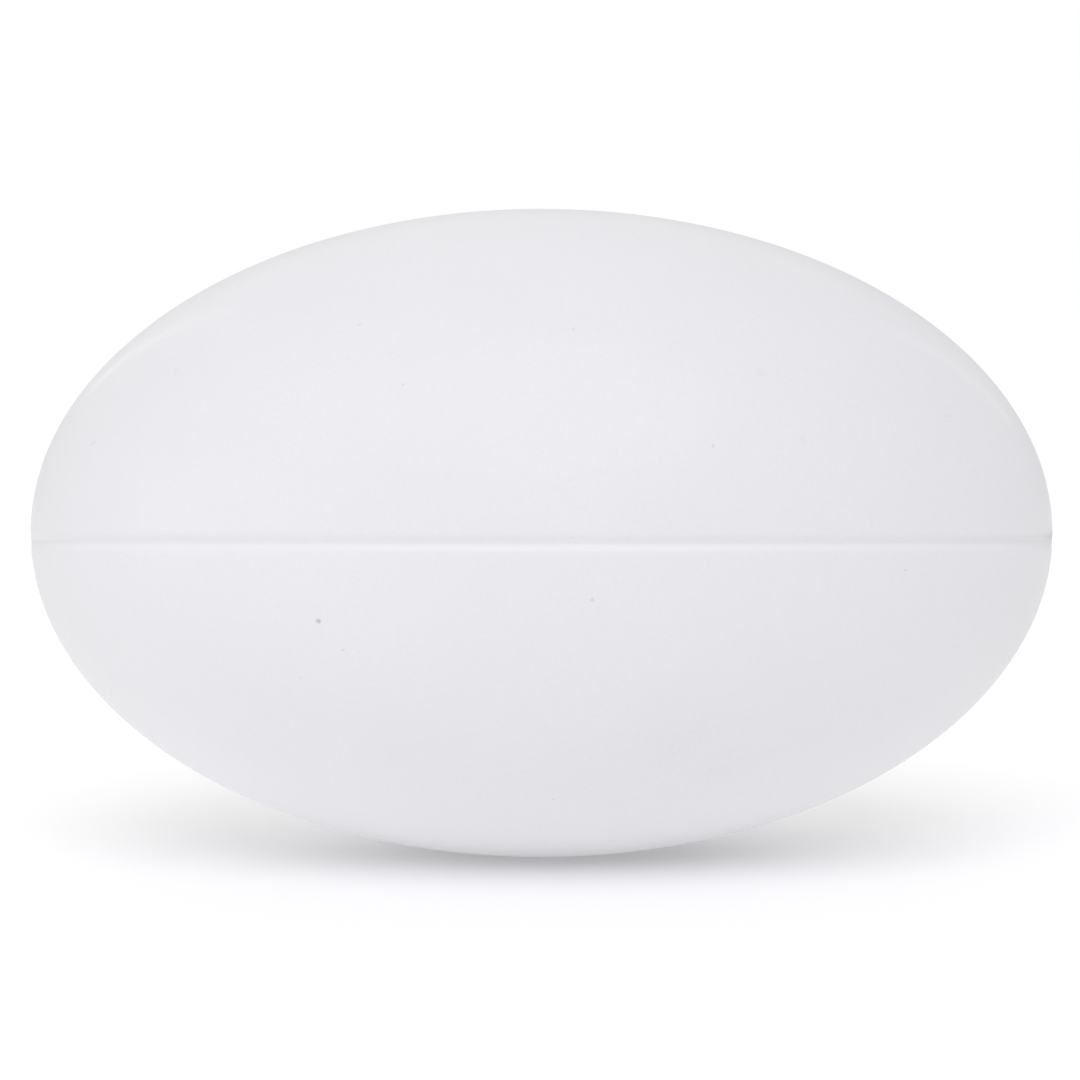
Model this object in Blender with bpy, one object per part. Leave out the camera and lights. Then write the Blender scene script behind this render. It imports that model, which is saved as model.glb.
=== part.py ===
"""A moulded foam rugby ball: a painted, grooved surface over a soft foam inside.

Metres, +Z up. The origin is the ball's centre and its long axis lies along X.
From outside to inside the ball is a thin paint coat, a dense skin and an open
foam core. The coat is sprayed into the two mould halves, so it parts along the
groove that runs round the ball's waist from tip to tip.
"""

import math

import bmesh
import bpy
from mathutils import Matrix, Vector

# Driving dimensions
BALL_LENGTH = 0.095
BALL_DIAMETER = 0.06024
COAT_THICKNESS = 0.00025
SKIN_THICKNESS = 0.0012
FIT_GAP = 0.0003
PARTING_DROP = 0.0007
GROOVE_HALF_WIDTH = 0.0009
GROOVE_DEPTH = 0.00035

# How finely the round surfaces are divided: round the long axis, and tip to tip
OUTER_DIVISIONS = (40, 26)
INNER_DIVISIONS = (28, 18)
RING_DIVISIONS = 52

# How far each surface lies inside the ball's nominal outline
COAT_INSIDE = COAT_THICKNESS
SKIN_OUTSIDE = COAT_INSIDE + FIT_GAP
SKIN_INSIDE = SKIN_OUTSIDE + SKIN_THICKNESS
CORE_OUTSIDE = SKIN_INSIDE + FIT_GAP

PAINT_COLOUR = (0.84, 0.83, 0.87, 1.0)
SKIN_COLOUR = (0.80, 0.77, 0.66, 1.0)
FOAM_COLOUR = (0.86, 0.82, 0.68, 1.0)


def clear_scene():
    """Remove every object that the open file holds."""
    for old in list(bpy.data.objects):
        bpy.data.objects.remove(old)


def make_material(name, colour, roughness):
    """A plain, non-metallic surface."""
    material = bpy.data.materials.new(name)
    material.use_nodes = True
    shader = material.node_tree.nodes["Principled BSDF"]
    shader.inputs["Base Color"].default_value = colour
    shader.inputs["Roughness"].default_value = roughness
    shader.inputs["Metallic"].default_value = 0.0
    return material


def add_object(name, shape):
    """Turn a bmesh into a smooth-shaded object in the scene."""
    mesh = bpy.data.meshes.new(name)
    shape.to_mesh(mesh)
    shape.free()
    mesh.shade_smooth()
    mesh.set_sharp_from_angle(angle=math.radians(35))
    made = bpy.data.objects.new(name, mesh)
    bpy.context.scene.collection.objects.link(made)
    return made


def hide_as_cutter(made):
    """Mark an object that only shapes others."""
    made.hide_render = True
    made.display_type = "WIRE"
    return made


def use_cutter(made, operation, cutter):
    """Shape an object with another by a Boolean."""
    boolean = made.modifiers.new(cutter.name, "BOOLEAN")
    boolean.solver = "EXACT"
    boolean.operation = operation
    boolean.object = cutter


def half_axes(inset):
    """The ellipsoid's half length and half diameter at a depth below the outline."""
    return BALL_LENGTH / 2 - inset, BALL_DIAMETER / 2 - inset


def make_ellipsoid(name, inset, divisions):
    """A solid ellipsoid whose poles are the ball's two tips."""
    half_length, radius = half_axes(inset)
    round_axis, tip_to_tip = divisions
    stretch = Matrix.Diagonal((half_length, radius, radius, 1.0))
    poles_along_x = Matrix.Rotation(math.pi / 2, 4, "Y")
    shape = bmesh.new()
    bmesh.ops.create_uvsphere(
        shape,
        u_segments=round_axis,
        v_segments=tip_to_tip,
        radius=1.0,
        matrix=stretch @ poles_along_x,
    )
    return add_object(name, shape)


def make_groove_ring(name, inset, across, offset):
    """A closed ring of V section that follows the ellipsoid round one plane.

    across is the plane's unit normal, and offset is its distance from the
    centre. The V's point lies under the surface and its open side above it.
    """
    half_length, radius = half_axes(inset)
    shrink = math.sqrt(1 - (offset / radius) ** 2)
    along = Vector((half_length * shrink, 0, 0))
    up = across.cross(Vector((1, 0, 0))) * radius * shrink
    centre = across * offset
    shape = bmesh.new()
    loops = []
    for step in range(RING_DIVISIONS):
        turn = 2 * math.pi * step / RING_DIVISIONS
        point = centre + along * math.cos(turn) + up * math.sin(turn)
        tangent = along * -math.sin(turn) + up * math.cos(turn)
        outward = tangent.cross(across).normalized()
        if outward.dot(point - centre) < 0:
            outward.negate()
        brim = point + outward * GROOVE_DEPTH
        corners = (
            point - outward * GROOVE_DEPTH,
            brim + across * 2 * GROOVE_HALF_WIDTH,
            brim - across * 2 * GROOVE_HALF_WIDTH,
        )
        loops.append([shape.verts.new(corner) for corner in corners])
    for step, loop in enumerate(loops):
        following = loops[(step + 1) % RING_DIVISIONS]
        for side in range(3):
            after = (side + 1) % 3
            shape.faces.new((loop[side], loop[after], following[after], following[side]))
    bmesh.ops.recalc_face_normals(shape, faces=shape.faces)
    return hide_as_cutter(add_object(name, shape))


def cut_grooves(made, inset):
    """Cut the waist groove and the groove over the top and underneath."""
    waist = make_groove_ring(made.name + "_waist_groove", inset, Vector((0, 0, 1)), -PARTING_DROP)
    upright = make_groove_ring(made.name + "_upright_groove", inset, Vector((0, 1, 0)), 0.0)
    use_cutter(made, "DIFFERENCE", waist)
    use_cutter(made, "DIFFERENCE", upright)


def make_half_space(name, side):
    """A block that holds all of the ball on one side of the parting plane."""
    reach = BALL_LENGTH
    face = -PARTING_DROP + side * FIT_GAP / 2
    shape = bmesh.new()
    bmesh.ops.create_cube(shape, size=reach * 2, matrix=Matrix.Translation((0, 0, face + side * reach)))
    return hide_as_cutter(add_object(name, shape))


def make_hollow(name, inset, divisions, grooved):
    """The shape that is taken out of a shell."""
    hollow = hide_as_cutter(make_ellipsoid(name, inset, divisions))
    if grooved:
        cut_grooves(hollow, inset)
    return hollow


def make_half_shell(name, inset, hollow, half_space, material):
    """One mould half's share of a layer."""
    shell = make_ellipsoid(name, inset, OUTER_DIVISIONS)
    cut_grooves(shell, inset)
    use_cutter(shell, "DIFFERENCE", hollow)
    use_cutter(shell, "INTERSECT", half_space)
    shell.data.materials.append(material)
    return shell


def make_ball():
    """Build the coat, the skin and the core."""
    paint = make_material("white_paint", PAINT_COLOUR, 0.5)
    dense_foam = make_material("dense_skin", SKIN_COLOUR, 0.75)
    open_foam = make_material("open_foam", FOAM_COLOUR, 0.95)
    coat_hollow = make_hollow("coat_hollow", COAT_INSIDE, OUTER_DIVISIONS, True)
    skin_hollow = make_hollow("skin_hollow", SKIN_INSIDE, INNER_DIVISIONS, False)
    for half, side in (("upper", 1), ("lower", -1)):
        half_space = make_half_space(half + "_half_space", side)
        make_half_shell("coat_" + half, 0.0, coat_hollow, half_space, paint)
        make_half_shell("skin_" + half, SKIN_OUTSIDE, skin_hollow, half_space, dense_foam)
    core = make_ellipsoid("foam_core", CORE_OUTSIDE, INNER_DIVISIONS)
    core.data.materials.append(open_foam)


clear_scene()
make_ball()
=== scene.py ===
"""Looks for the moulded foam rugby ball.

Each layer is rebuilt as a fine closed shell over the same ellipsoid as the CAD
solids: rounded grooves, casting marks and a slightly uneven surface are real
geometry, and the materials add the paint's orange peel and the foam's cells.
"""

import math
import random

import bmesh
import bpy
import numpy as np
from mathutils import Matrix, Vector, noise


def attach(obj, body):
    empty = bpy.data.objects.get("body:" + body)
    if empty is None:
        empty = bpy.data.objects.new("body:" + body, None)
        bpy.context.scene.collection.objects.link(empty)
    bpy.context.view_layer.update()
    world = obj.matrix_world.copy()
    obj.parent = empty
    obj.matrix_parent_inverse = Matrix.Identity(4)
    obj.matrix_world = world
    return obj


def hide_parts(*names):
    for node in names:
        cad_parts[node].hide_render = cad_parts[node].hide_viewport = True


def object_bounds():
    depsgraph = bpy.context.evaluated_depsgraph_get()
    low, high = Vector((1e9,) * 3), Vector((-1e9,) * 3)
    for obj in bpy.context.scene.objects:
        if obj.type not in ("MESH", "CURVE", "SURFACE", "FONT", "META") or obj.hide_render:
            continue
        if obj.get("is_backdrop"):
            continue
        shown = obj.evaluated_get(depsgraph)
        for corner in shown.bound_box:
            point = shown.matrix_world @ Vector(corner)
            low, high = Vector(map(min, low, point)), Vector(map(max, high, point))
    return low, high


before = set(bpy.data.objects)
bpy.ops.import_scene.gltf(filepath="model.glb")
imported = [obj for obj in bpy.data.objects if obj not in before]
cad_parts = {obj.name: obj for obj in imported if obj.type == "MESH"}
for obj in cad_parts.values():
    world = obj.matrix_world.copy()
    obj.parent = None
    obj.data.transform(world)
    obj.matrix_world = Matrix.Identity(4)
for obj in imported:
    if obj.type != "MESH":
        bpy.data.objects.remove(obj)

CAD_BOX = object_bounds()

# The ball's outline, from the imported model's width and the ball's proportions
RADIUS = (CAD_BOX[1][1] - CAD_BOX[0][1]) / 2
LENGTH_TO_WIDTH = 1.577
HALF_LENGTH = RADIUS * LENGTH_TO_WIDTH

# The grooves, in metres: they run out towards the ball's tips
PARTING_DROP = 0.0007
GROOVE_DEPTH = 0.0003
GROOVE_SPREAD = 0.00037
TIP_REACH = 0.0008
DEPTH_AT_TIP = 0.05

# A painted highlight on the waist groove's lower wall: how far below the groove it lies, and
# how spread
PAINTED_HIGHLIGHT_BELOW = 0.00042
PAINTED_HIGHLIGHT_SPREAD = 0.00022

# Depths of the layers' surfaces below the outline
COAT_INSIDE = 0.00025
SKIN_OUTSIDE = 0.00055
SKIN_INSIDE = 0.00175
CORE_OUTSIDE = 0.00205
SEAM_GAP = 0.000004

# Grid spacing: beside a groove, its growth away from it, and the widest
COAT_GRID = (0.00005, 1.10, 0.0007)
SKIN_GRID = (0.00014, 1.25, 0.0013)
CORE_GRID = (0.0006, 1.0, 0.0006)

# Unevenness of the moulded surface, and the core's lumps: height and wavelength
WAVES = ((0.000012, 0.013), (0.000005, 0.0045))
LUMPS = (0.00016, 0.0022)

# Marks on the front, in metres along the ball and up from its middle
# Pinholes: along, up, radius and the strength of the painted shade inside
PINHOLES = (
    (-0.0190, -0.0074, 0.00022, 0.56),
    (0.0043, -0.0055, 0.00016, 0.20),
    (0.0146, 0.0075, 0.00014, 0.09),
    (-0.0157, 0.0182, 0.00014, 0.06),
    (0.0028, 0.0176, 0.00014, 0.08),
    (-0.0118, 0.0128, 0.00011, 0.03),
    (-0.0169, -0.0099, 0.00012, 0.09),
    (-0.0207, -0.0123, 0.00010, 0.10),
    (0.0315, -0.0031, 0.00013, 0.16),
    (0.0010, -0.0232, 0.00011, 0.09),
    (0.0086, 0.0263, 0.00011, 0.10),
    (0.0027, -0.0003, 0.00012, 0.02),
)
# Closed bubbles and rubbed patches: along, up and radius
BUBBLES = ((0.0190, 0.0139, 0.00052), (0.0224, 0.0081, 0.00045), (0.0382, 0.0056, 0.00035))
SCUFFS = ((0.0112, -0.0185, 0.0022), (0.0152, -0.0207, 0.0018), (0.0137, -0.0168, 0.0013))
# Two nicks, a curl and a faint line: the two ends, radius, depth and the strength of their
# painted shade
SCRATCHES = (
    ((-0.03236, 0.01429), (-0.03204, 0.01451), 0.00012, 0.00004, 0.17),
    ((-0.04013, 0.00799), (-0.03967, 0.00821), 0.00012, 0.00004, 0.20),
    ((0.03566, 0.01045), (0.03594, 0.01035), 0.00011, 0.00004, 0.11),
    ((-0.04520, 0.00080), (-0.04520, 0.00670), 0.00020, 0.0, 0.04),
)
SCRATCH_STEP = 0.0004
# Marks on the far side: how many, and how far from the waist groove
FAR_SIDE_MARKS = 16
CLEAR_OF_GROOVE = 0.0015

# The camera: the outline fills this share of the picture's width
VIEW_DISTANCE = 0.300
VIEW_ELEVATION = math.radians(0.3)
SENSOR_WIDTH = 36.0
OUTLINE_SHARE = 0.9463
AIM_OFFSET = Vector((-0.00014, 0.0, -0.00065))

# The table falls towards the camera in the ball's frame, because the ball has rolled
# back by this angle about its long axis: the camera looks along the waist groove
TABLE_SLOPE = math.radians(4.0)
TABLE_RADIUS = 6.0

# The table's own light, and the extra light that it gives the ball from below
TABLE_LIGHT = 0.075
BOUNCE_LIGHT = 0.170
BOUNCE_HALF_SIZE = (0.047, 0.020)

# The light from all round, and big soft sources far off: azimuth to the right of the
# camera and elevation in degrees, width in degrees, strength and colour
WORLD_LIGHT = 0.618
SOFTBOXES = (
    ("key", 0, 45, 50, 0.91, (0.92, 0.89, 1.0)),
    ("upper_left", -30, 60, 50, 0.09, (0.90, 1.0, 0.40)),
    ("low_left", -60, 5, 40, 0.48, (0.98, 0.99, 1.0)),
    ("right", 90, 50, 50, 0.08, (1.0, 0.95, 0.85)),
    ("behind", 180, 50, 50, 0.20, (1.0, 1.0, 1.0)),
    ("above", 180, 84, 50, 0.18, (0.95, 0.97, 1.0)),
)

# The strips behind the ball: each one's two ends, and how wide and bright they are
STRIPS = (
    ("left_strip", (-0.315, 0.5, 0.18), (-0.50, 0.5, 0.78)),
    ("right_strip", (0.44, 0.5, 0.20), (0.55, 0.5, 0.72)),
)
STRIP_WIDTH = 0.045
STRIP_RADIANCE = 1.7

# The sides of the ball along Y
FRONT = -1
BACK = 1

WHITE = (1.0, 1.0, 1.0, 1.0)


# ---------------------------------------------------------------- the surface

def smooth(share):
    """A share from 0 to 1 with soft ends."""
    return share * share * (3 - 2 * share)


def ellipsoid_points(unit, inset):
    """Points of the unit sphere carried to the ellipsoid, and the normals there."""
    half = np.array((HALF_LENGTH, RADIUS, RADIUS))
    points = unit * half
    normals = unit / half
    normals /= np.linalg.norm(normals, axis=1)[:, None]
    return points - normals * inset, normals


def groove_height(points):
    """The rounded valleys of the waist groove and of the upright groove."""
    from_waist = points[:, 2] + PARTING_DROP
    from_upright = points[:, 1]
    waist = np.exp(-from_waist ** 2 / (2 * GROOVE_SPREAD ** 2))
    upright = np.exp(-from_upright ** 2 / (2 * GROOVE_SPREAD ** 2))
    valley = (waist ** 4 + upright ** 4) ** 0.25
    from_tip = np.clip((HALF_LENGTH - np.abs(points[:, 0])) / TIP_REACH, 0, 1)
    depth = GROOVE_DEPTH * (DEPTH_AT_TIP + (1 - DEPTH_AT_TIP) * smooth(from_tip))
    return -depth * valley


def painted_groove_highlight(points):
    """A painted highlight on the groove's lower wall, just below the waist groove."""
    from_line = (points[:, 2] + PARTING_DROP + PAINTED_HIGHLIGHT_BELOW) / PAINTED_HIGHLIGHT_SPREAD
    return np.exp(-from_line ** 2 / 2)


def right_tip_painted_shade(points):
    """Painted shade in the groove, which widens, climbs and grows stronger towards the right
    tip.

    It starts 0.70 of the way along and fades out where the tip turns to the back.
    """
    reach = np.clip((points[:, 0] / HALF_LENGTH - 0.70) / 0.29, 0, 1)
    middle = -0.00045 + 0.00022 * reach ** 3
    spread = 0.00018 + 0.00013 * reach ** 12
    darkness = 0.13 * reach + 0.42 * reach ** 20
    on_front = smooth(np.clip((0.0015 - points[:, 1]) / 0.0045, 0, 1))
    return darkness * on_front * np.exp(-((points[:, 2] - middle) / spread) ** 2 / 2)


def wave_height(points):
    """Slow unevenness from the mould and from shrinkage."""
    height = np.zeros(len(points))
    for tall, length in WAVES:
        height += [tall * noise.noise(Vector(p) / length) for p in points]
    return height


def on_side(along, up, side):
    """The point of the outline at a place along and up, on the front or the back."""
    across = math.sqrt(max(0.0, 1 - (along / HALF_LENGTH) ** 2 - (up / RADIUS) ** 2))
    return np.array((along, side * across * RADIUS, up))


class Mark:
    """A casting mark along a path on the outline, which is one point if it is round."""

    def __init__(self, path, radius, depth, painted_shade_strength):
        self.path = path
        self.radius = radius
        self.depth = depth
        self.painted_shade_strength = painted_shade_strength

    def distance(self, points):
        """How far each point is from the mark's path."""
        nearest = np.linalg.norm(points - self.path[0], axis=1)
        for start, end in zip(self.path, self.path[1:]):
            line = end - start
            share = np.clip((points - start) @ line / line.dot(line), 0, 1)
            away = points - start - share[:, None] * line
            nearest = np.minimum(nearest, np.linalg.norm(away, axis=1))
        return nearest

    def share(self, points):
        """1 at the middle of the mark, falling smoothly to 0 at its edge."""
        return smooth(np.clip(1 - self.distance(points) / self.radius, 0, 1))


    def reaches(self, side):
        """Whether the mark, which may lie across the waist, shows on one mould half."""
        return side * (self.path[0][2] + PARTING_DROP) > -self.radius


def pinhole(along, up, radius, painted_shade_strength, side=FRONT):
    """A pinhole in the paint, with painted shade inside."""
    return Mark([on_side(along, up, side)], radius * 1.5, min(0.0002, radius * 0.8), painted_shade_strength)


def bubble(along, up, radius, side=FRONT):
    """A bubble that closed under the paint: a shallow round dish with faint painted shade."""
    return Mark([on_side(along, up, side)], radius * 1.3, 0.000020, 0.08)


def scratch(start, end, radius, depth, painted_shade_strength, side=FRONT):
    """A mark over the surface between two places, each along and up, with painted shade along
    it.
    """
    steps = max(1, round(math.dist(start, end) / SCRATCH_STEP))
    path = []
    for step in range(steps + 1):
        along, up = (a + (b - a) * step / steps for a, b in zip(start, end))
        path.append(on_side(along, up, side))
    return Mark(path, radius, depth, painted_shade_strength)


def seen_marks():
    """The marks on the front."""
    marks = [pinhole(*one) for one in PINHOLES]
    marks += [bubble(*one) for one in BUBBLES]
    marks += [scratch(*one) for one in SCRATCHES]
    return marks


def scattered_marks():
    """Marks of the same kinds on the far side, where they can lie anywhere."""
    dice = random.Random(7)
    marks = []
    while len(marks) < FAR_SIDE_MARKS:
        along = dice.uniform(-0.8, 0.8) * HALF_LENGTH
        up = dice.uniform(-0.9, 0.9) * RADIUS
        if (along / HALF_LENGTH) ** 2 + (up / RADIUS) ** 2 > 0.85:
            continue
        if abs(up + PARTING_DROP) < CLEAR_OF_GROOVE:
            continue
        if len(marks) % 5 == 4:
            marks.append(bubble(along, up, dice.uniform(0.0004, 0.0006), BACK))
        else:
            radius = dice.uniform(0.0001, 0.0002)
            marks.append(pinhole(along, up, radius, 0.1 + 2000 * (radius - 0.0001), BACK))
    return marks


def scuffing(points):
    """Where the paint is rubbed: a few soft-edged patches low on the front."""
    worn = np.zeros(len(points))
    for along, up, radius in SCUFFS:
        away = np.linalg.norm(points - on_side(along, up, FRONT), axis=1) / radius
        worn = np.maximum(worn, np.exp(-away ** 2 * 1.5))
    return worn


# ------------------------------------------------------------ the layers' grid

def graded_angles(grid):
    """Angles from 0 to 45 degrees: fine beside a groove, wider away from it."""
    step, growth, widest = grid[0] / RADIUS, grid[1], grid[2] / RADIUS
    angles = [0.0]
    while angles[-1] < math.pi / 4:
        angles.append(angles[-1] + step)
        step = min(step * growth, widest)
    return [angle * math.pi / 4 / angles[-1] for angle in angles]


def even_angles(spacing):
    """Angles from -45 to 45 degrees for the lines across the ball's length."""
    count = round(HALF_LENGTH * math.sqrt(2) / spacing)
    return [math.pi / 4 * (2 * i / count - 1) for i in range(count + 1)]


def add_patch(shape, pole, side_a, side_b, angles_a, angles_b):
    """One face of a cube blown up to the unit sphere."""
    rows = []
    for a in angles_a:
        middle = pole + side_a * math.tan(a)
        points = [(middle + side_b * math.tan(b)).normalized() for b in angles_b]
        rows.append([shape.verts.new(point) for point in points])
    outward = side_a.cross(side_b).dot(pole) > 0
    for row, following in zip(rows, rows[1:]):
        for i in range(len(angles_b) - 1):
            corners = (row[i], following[i], following[i + 1], row[i + 1])
            shape.faces.new(corners if outward else corners[::-1])


def add_half_sphere(shape, side, grid):
    """The unit sphere above the waist, or below it, from five patches."""
    x, y, up = Vector((1, 0, 0)), Vector((0, 1, 0)), Vector((0, 0, side))
    rising = graded_angles(grid)
    whole = [-angle for angle in reversed(rising[1:])] + rising
    along = even_angles(grid[2])
    add_patch(shape, up, y, x, whole, along)
    for way in (1, -1):
        add_patch(shape, y * way, x, up, along, rising)
        add_patch(shape, x * way, y, up, whole, rising)


def lower_the_waist(shape):
    """Slide the sphere's middle line down to the parting plane."""
    drop = PARTING_DROP / RADIUS
    for vert in shape.verts:
        x, y, z = vert.co
        lower = z - drop * (1 - z * z)
        flat = math.hypot(x, y)
        if flat > 0:
            scale = math.sqrt(1 - lower * lower) / flat
            vert.co = (x * scale, y * scale, lower)


def close_inside(shape, inner):
    """Copy the open surface as the layer's inside and join the two at the waist."""
    rim = [edge for edge in shape.edges if edge.is_boundary]
    copied = bmesh.ops.duplicate(shape, geom=shape.verts[:] + shape.edges[:] + shape.faces[:])
    twin = copied["vert_map"]
    inside_faces = [item for item in copied["geom"] if isinstance(item, bmesh.types.BMFace)]
    bmesh.ops.reverse_faces(shape, faces=inside_faces)
    for item in copied["geom"]:
        if isinstance(item, bmesh.types.BMVert):
            item[inner] = 1.0
    for edge in rim:
        corner = edge.link_loops[0]
        first, second = corner.vert, corner.link_loop_next.vert
        closing = shape.faces.new((second, first, twin[first], twin[second]))
        for side in closing.edges:
            side.smooth = False


def split_near_marks(shape, inner, marks):
    """Divide the outer surface finely round each mark."""
    for reach in (0.0012, 0.0006, 0.0003, 0.00012):
        verts = [vert for vert in shape.verts if vert[inner] < 0.5]
        unit = np.array([vert.co for vert in verts])
        points, _ = ellipsoid_points(unit, 0.0)
        away = np.full(len(points), 1.0)
        for mark in marks:
            away = np.minimum(away, mark.distance(points) - mark.radius)
        near = {vert for vert, gap in zip(verts, away) if gap < reach}
        edges = {edge for vert in near for edge in vert.link_edges}
        chosen = [edge for edge in edges if edge.verts[0] in near and edge.verts[1] in near]
        bmesh.ops.subdivide_edges(shape, edges=chosen, cuts=1, use_grid_fill=True)
        for vert in shape.verts:
            vert.co.normalize()


def finish_mesh(shape, name):
    """Turn the bmesh into a smooth-shaded object."""
    for face in shape.faces:
        face.smooth = True
    mesh = bpy.data.meshes.new(name)
    shape.to_mesh(mesh)
    shape.free()
    made = bpy.data.objects.new(name, mesh)
    bpy.context.scene.collection.objects.link(made)
    return made


def add_attribute(mesh, name, values):
    """A number at each point that the material reads."""
    layer = mesh.attributes.new(name, "FLOAT", "POINT")
    layer.data.foreach_set("value", np.asarray(values, np.float32))


def make_half_layer(name, side, outside, inside, grid, marks=()):
    """One mould half's share of a layer, as a closed shell; only the coat has marks."""
    shape = bmesh.new()
    inner = shape.verts.layers.float.new("inner")
    add_half_sphere(shape, side, grid)
    bmesh.ops.remove_doubles(shape, verts=shape.verts, dist=1e-5)
    lower_the_waist(shape)
    close_inside(shape, inner)
    if marks:
        split_near_marks(shape, inner, marks)
    unit = np.array([vert.co for vert in shape.verts])
    is_inner = np.array([vert[inner] > 0.5 for vert in shape.verts])
    on_outline, normals = ellipsoid_points(unit, 0.0)
    height = groove_height(on_outline) - np.where(is_inner, inside, outside)
    height += wave_height(on_outline)
    # Painted shade: in the groove at the right tip, and at each mark on the coat
    painted_shade = right_tip_painted_shade(on_outline)
    for mark in marks:
        share = mark.share(on_outline)
        height -= np.where(is_inner, 0.0, share * mark.depth)
        painted_shade = np.maximum(painted_shade, share * mark.painted_shade_strength)
    points = on_outline + normals * height[:, None]
    points[:, 2] += side * SEAM_GAP / 2
    for vert, point in zip(shape.verts, points):
        vert.co = point
    made = finish_mesh(shape, name)
    if marks:
        add_attribute(made.data, "painted_shade", painted_shade)
        add_attribute(made.data, "scuff", scuffing(on_outline))
        add_attribute(made.data, "painted_highlight", painted_groove_highlight(on_outline))
    return made


def make_core(name):
    """The foam core as one closed body with a lumpy surface."""
    shape = bmesh.new()
    add_half_sphere(shape, 1, CORE_GRID)
    add_half_sphere(shape, -1, CORE_GRID)
    bmesh.ops.remove_doubles(shape, verts=shape.verts, dist=1e-5)
    unit = np.array([vert.co for vert in shape.verts])
    on_outline, normals = ellipsoid_points(unit, CORE_OUTSIDE)
    tall, length = LUMPS
    lumps = np.array([abs(noise.noise(Vector(p) / length)) for p in on_outline])
    points = on_outline - normals * (tall * lumps)[:, None]
    for vert, point in zip(shape.verts, points):
        vert.co = point
    return finish_mesh(shape, name)


# -------------------------------------------------------------- the materials

class Nodes:
    """Small helpers for building a material's node tree."""

    def __init__(self, name):
        self.material = bpy.data.materials.new(name)
        self.material.use_nodes = True
        self.tree = self.material.node_tree
        self.shader = self.tree.nodes["Principled BSDF"]
        self.place = self.add("ShaderNodeTexCoord").outputs["Object"]

    def add(self, kind):
        return self.tree.nodes.new(kind)

    def link(self, source, target):
        self.tree.links.new(source, target)

    def noise(self, wavelength, detail=2.0, roughness=0.5):
        """A noise pattern of one wavelength, in metres."""
        texture = self.add("ShaderNodeTexNoise")
        texture.inputs["Scale"].default_value = 1 / wavelength
        texture.inputs["Detail"].default_value = detail
        texture.inputs["Roughness"].default_value = roughness
        self.link(self.place, texture.inputs["Vector"])
        return texture.outputs["Fac"]

    def cells(self, wavelength):
        """A cell pattern of one size, in metres."""
        texture = self.add("ShaderNodeTexVoronoi")
        texture.inputs["Scale"].default_value = 1 / wavelength
        self.link(self.place, texture.inputs["Vector"])
        return texture.outputs["Distance"]

    def ramp(self, value, low, high, start, end):
        """A number carried from one range to another."""
        node = self.add("ShaderNodeMapRange")
        limits = {"From Min": low, "From Max": high, "To Min": start, "To Max": end}
        for socket, number in limits.items():
            node.inputs[socket].default_value = number
        self.link(value, node.inputs["Value"])
        return node.outputs["Result"]

    def blend(self, share, first, second):
        """A mix of two colours, each a colour or another node's output."""
        node = self.add("ShaderNodeMix")
        node.data_type = "RGBA"
        self.link(share, node.inputs["Factor"])
        for socket, colour in ((node.inputs[6], first), (node.inputs[7], second)):
            if isinstance(colour, tuple):
                socket.default_value = (*colour, 1.0)
            else:
                self.link(colour, socket)
        return node.outputs[2]

    def maths(self, operation, first, second):
        """Two numbers combined; the second may be a plain number."""
        node = self.add("ShaderNodeMath")
        node.operation = operation
        self.link(first, node.inputs[0])
        if isinstance(second, (int, float)):
            node.inputs[1].default_value = second
        else:
            self.link(second, node.inputs[1])
        return node.outputs[0]

    def distance(self, half_size):
        """How far from the middle, as a share of an ellipse's half size."""
        scaled = self.add("ShaderNodeVectorMath")
        scaled.operation = "DIVIDE"
        scaled.inputs[1].default_value = (*half_size, 1.0)
        self.link(self.place, scaled.inputs[0])
        length = self.add("ShaderNodeVectorMath")
        length.operation = "LENGTH"
        self.link(scaled.outputs["Vector"], length.inputs[0])
        return length.outputs["Value"]

    def attribute(self, name):
        node = self.add("ShaderNodeAttribute")
        node.attribute_name = name
        return node.outputs["Fac"]

    def bump(self, height, depth, under=None):
        """Surface relief of one depth, in metres, over any relief under it."""
        node = self.add("ShaderNodeBump")
        node.inputs["Strength"].default_value = 1.0
        node.inputs["Distance"].default_value = depth
        self.link(height, node.inputs["Height"])
        if under is not None:
            self.link(under, node.inputs["Normal"])
        return node.outputs["Normal"]


def paint_material():
    """White elastic paint: satin, with a fine orange peel and faint blotches, a painted
    highlight under the waist groove and painted shade at the marks and the right tip.
    """
    nodes = Nodes("white_elastic_paint")
    blotches = nodes.ramp(nodes.noise(0.016, 3.0), 0.35, 0.65, 0.0, 1.0)
    tone = nodes.blend(blotches, (0.778, 0.776, 0.792), (0.790, 0.788, 0.804))
    mottle = nodes.ramp(nodes.noise(0.0003, 3.0), 0.3, 0.7, 0.0, 0.5)
    tone = nodes.blend(mottle, tone, (0.745, 0.738, 0.770))
    # Painted highlight: lighter paint on the waist groove's lower wall
    tone = nodes.blend(nodes.attribute("painted_highlight"), tone, (0.805, 0.803, 0.825))
    specks = nodes.ramp(nodes.noise(0.00024, 3.0), 0.42, 0.70, 0.0, 0.55)
    worn = nodes.maths("MULTIPLY", nodes.attribute("scuff"), specks)
    tone = nodes.blend(worn, tone, (0.70, 0.69, 0.73))
    # Painted shade: grey at the marks and in the groove at the right tip
    tone = nodes.blend(nodes.attribute("painted_shade"), tone, (0.36, 0.35, 0.37))
    nodes.link(tone, nodes.shader.inputs["Base Color"])
    satin = nodes.ramp(nodes.noise(0.009, 3.0), 0.3, 0.7, 0.46, 0.54)
    nodes.link(satin, nodes.shader.inputs["Roughness"])
    nodes.shader.inputs["Specular IOR Level"].default_value = 0.3
    nodes.shader.inputs["Coat Weight"].default_value = 0.1
    nodes.shader.inputs["Coat Roughness"].default_value = 0.12
    peel = nodes.bump(nodes.noise(0.0006, 3.0), 0.000016)
    grain = nodes.bump(nodes.noise(0.00013, 1.0), 0.0000045, peel)
    nodes.link(grain, nodes.shader.inputs["Normal"])
    return nodes.material


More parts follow.
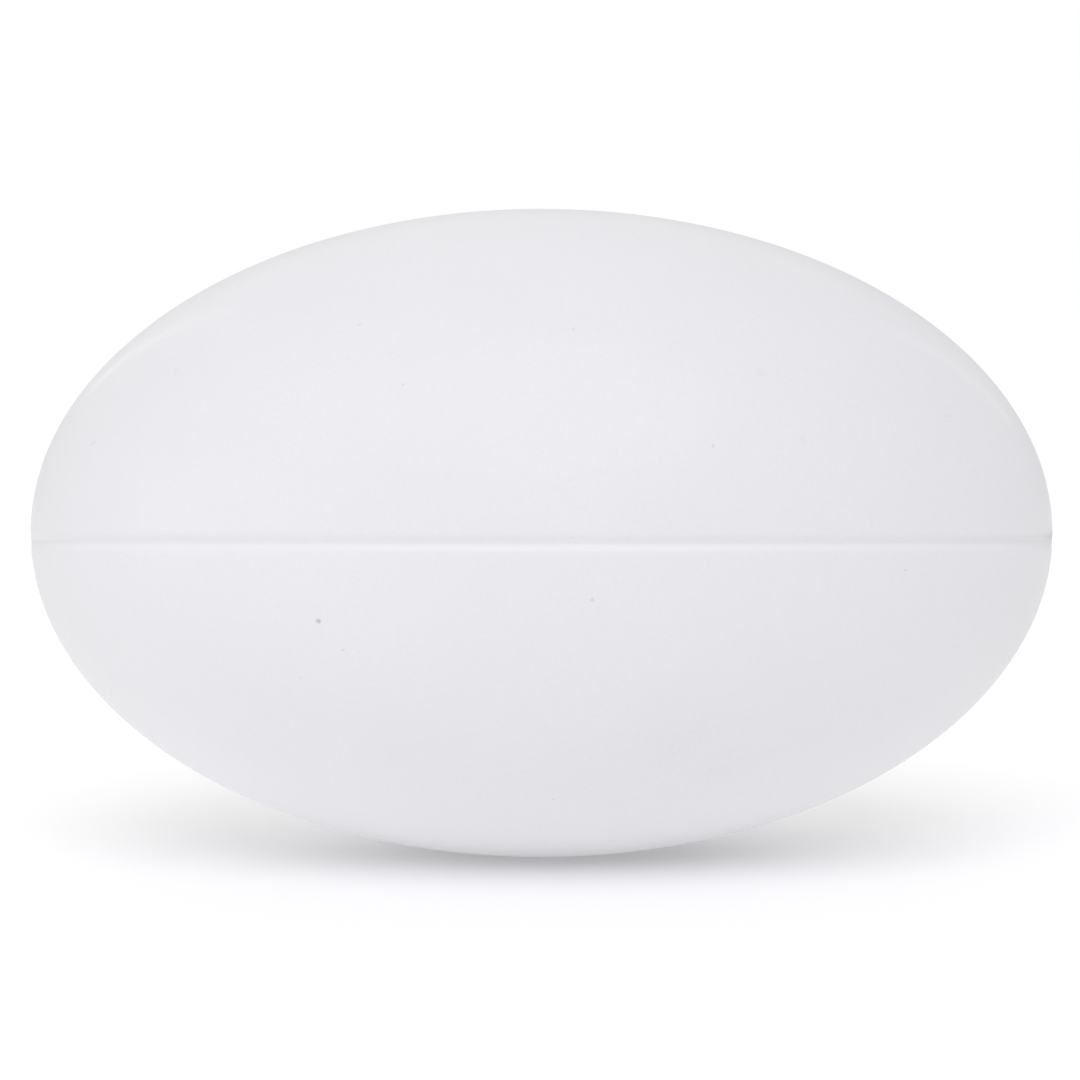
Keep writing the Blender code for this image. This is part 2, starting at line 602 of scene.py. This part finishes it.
def skin_material():
    """The casting's dense skin: smooth off-white with a few closed cells."""
    nodes = Nodes("dense_foam_skin")
    blotches = nodes.ramp(nodes.noise(0.006, 3.0), 0.35, 0.65, 0.0, 1.0)
    tone = nodes.blend(blotches, (0.78, 0.75, 0.64), (0.84, 0.81, 0.70))
    nodes.link(tone, nodes.shader.inputs["Base Color"])
    dullness = nodes.ramp(nodes.noise(0.002), 0.3, 0.7, 0.62, 0.78)
    nodes.link(dullness, nodes.shader.inputs["Roughness"])
    nodes.link(nodes.bump(nodes.cells(0.0006), 0.00004), nodes.shader.inputs["Normal"])
    return nodes.material


def foam_material():
    """Soft open foam: cream, matt and full of small cells."""
    nodes = Nodes("open_cell_foam")
    cells = nodes.cells(0.00045)
    walls = nodes.ramp(cells, 0.1, 0.6, 0.0, 1.0)
    tone = nodes.blend(walls, (0.62, 0.57, 0.43), (0.87, 0.83, 0.70))
    nodes.link(tone, nodes.shader.inputs["Base Color"])
    dullness = nodes.ramp(nodes.noise(0.001), 0.3, 0.7, 0.85, 1.0)
    nodes.link(dullness, nodes.shader.inputs["Roughness"])
    nodes.link(nodes.bump(cells, 0.00015), nodes.shader.inputs["Normal"])
    return nodes.material


def floor_material():
    """A plain white table top that gives a little extra light back under the ball."""
    nodes = Nodes("white_table")
    shader = nodes.shader
    shader.inputs["Base Color"].default_value = (0.97, 0.97, 0.97, 1.0)
    shader.inputs["Roughness"].default_value = 0.9
    shader.inputs["Specular IOR Level"].default_value = 0.0
    shader.inputs["Emission Color"].default_value = WHITE
    near = nodes.ramp(nodes.distance(BOUNCE_HALF_SIZE), 0.75, 1.25, BOUNCE_LIGHT, 0.0)
    seen = nodes.add("ShaderNodeLightPath").outputs["Is Camera Ray"]
    unseen = nodes.ramp(seen, 0.0, 1.0, 1.0, 0.0)
    glow = nodes.maths("ADD", nodes.maths("MULTIPLY", near, unseen), TABLE_LIGHT)
    nodes.link(glow, shader.inputs["Emission Strength"])
    nodes.material.cycles.emission_sampling = "NONE"
    return nodes.material


# ------------------------------------------------------------------ the stage

def make_floor(height):
    """A wide round table top, which touches the ball at its lowest point on the slope."""
    shape = bmesh.new()
    bmesh.ops.create_circle(shape, cap_ends=True, segments=96, radius=TABLE_RADIUS)
    floor = finish_mesh(shape, "floor")
    floor.rotation_euler.x = TABLE_SLOPE
    floor.location.z = height / math.cos(TABLE_SLOPE)
    floor.data.materials.append(floor_material())
    floor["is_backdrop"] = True


def make_world():
    """Even white light from all round, seen as pure white behind the table."""
    world = bpy.data.worlds.new("white_tent")
    world.use_nodes = True
    nodes = world.node_tree.nodes
    links = world.node_tree.links
    background = nodes["Background"]
    background.inputs["Color"].default_value = WHITE
    background.inputs["Strength"].default_value = WORLD_LIGHT
    seen = nodes.new("ShaderNodeBackground")
    seen.inputs["Color"].default_value = WHITE
    ray = nodes.new("ShaderNodeLightPath")
    either = nodes.new("ShaderNodeMixShader")
    links.new(ray.outputs["Is Camera Ray"], either.inputs[0])
    links.new(background.outputs[0], either.inputs[1])
    links.new(seen.outputs[0], either.inputs[2])
    links.new(either.outputs[0], nodes["World Output"].inputs["Surface"])
    bpy.context.scene.world = world


def direction(azimuth, elevation):
    """The way to a lamp: azimuth in degrees to the right of the camera, elevation up."""
    turn, rise = math.radians(azimuth), math.radians(elevation)
    level = Vector((math.sin(turn), -math.cos(turn), 0.0)) * math.cos(rise)
    return level + Vector((0.0, 0.0, math.sin(rise)))


def add_lamp(name, kind, place, facing):
    """A lamp of one kind at a place, turned by a rotation from looking straight down."""
    lamp = bpy.data.objects.new(name, bpy.data.lights.new(name, kind))
    bpy.context.scene.collection.objects.link(lamp)
    lamp.location = place
    lamp.rotation_euler = facing.to_euler()
    lamp.visible_camera = False
    return lamp


def make_far_softboxes():
    """Big soft sources, so far off that they light the table evenly."""
    for name, azimuth, elevation, width, strength, colour in SOFTBOXES:
        place = direction(azimuth, elevation)
        lamp = add_lamp(name, "SUN", place, (-place).to_track_quat("-Z", "Y"))
        lamp.data.angle = math.radians(width)
        lamp.data.energy = strength
        lamp.data.color = colour


def make_strips():
    """Thin bright strips behind the ball, which leave a sheen near both ends."""
    for name, low, high in STRIPS:
        middle = (Vector(low) + Vector(high)) / 2
        rise = Vector(high) - Vector(low)
        upwards = rise.normalized()
        away = (middle - upwards * middle.dot(upwards)).normalized()
        facing = Matrix((upwards.cross(away), upwards, away)).transposed().to_quaternion()
        lamp = add_lamp(name, "AREA", middle, facing)
        lamp.data.shape = "RECTANGLE"
        lamp.data.size = STRIP_WIDTH
        lamp.data.size_y = rise.length
        lamp.data.energy = STRIP_RADIANCE * math.pi * STRIP_WIDTH * lamp.data.size_y


def make_camera():
    """Square on to the ball's side, almost level, filling the picture's width."""
    data = bpy.data.cameras.new("view")
    seen_from = math.sqrt(VIEW_DISTANCE ** 2 - RADIUS ** 2)
    data.sensor_width = SENSOR_WIDTH
    data.lens = SENSOR_WIDTH * OUTLINE_SHARE * seen_from / (2 * HALF_LENGTH)
    data.clip_start = 0.01
    camera = bpy.data.objects.new("view", data)
    bpy.context.scene.collection.objects.link(camera)
    back = Vector((0, -math.cos(VIEW_ELEVATION), math.sin(VIEW_ELEVATION)))
    camera.location = back * VIEW_DISTANCE
    camera.rotation_euler = (AIM_OFFSET - camera.location).to_track_quat("-Z", "Y").to_euler()
    bpy.context.scene.camera = camera


# ------------------------------------------------------------------- the ball

def stand_for(piece, node, material):
    """Give a piece its material, attach it to the root body and hide its CAD node."""
    piece.data.materials.append(material)
    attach(piece, "root")
    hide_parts(node)


def make_ball():
    """The coat, the skin and the core."""
    paint, dense, soft = paint_material(), skin_material(), foam_material()
    marks = seen_marks() + scattered_marks()
    for half, side in (("upper", 1), ("lower", -1)):
        own = [mark for mark in marks if mark.reaches(side)]
        coat = make_half_layer("painted_coat_" + half, side, 0.0, COAT_INSIDE, COAT_GRID, own)
        stand_for(coat, "coat_" + half, paint)
        skin = make_half_layer("foam_skin_" + half, side, SKIN_OUTSIDE, SKIN_INSIDE, SKIN_GRID)
        stand_for(skin, "skin_" + half, dense)
    core = make_core("soft_foam_core")
    stand_for(core, "foam_core", soft)


make_ball()
make_floor(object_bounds()[0][2])
make_world()
make_far_softboxes()
make_strips()
make_camera()
bpy.context.scene.view_settings.view_transform = "Standard"
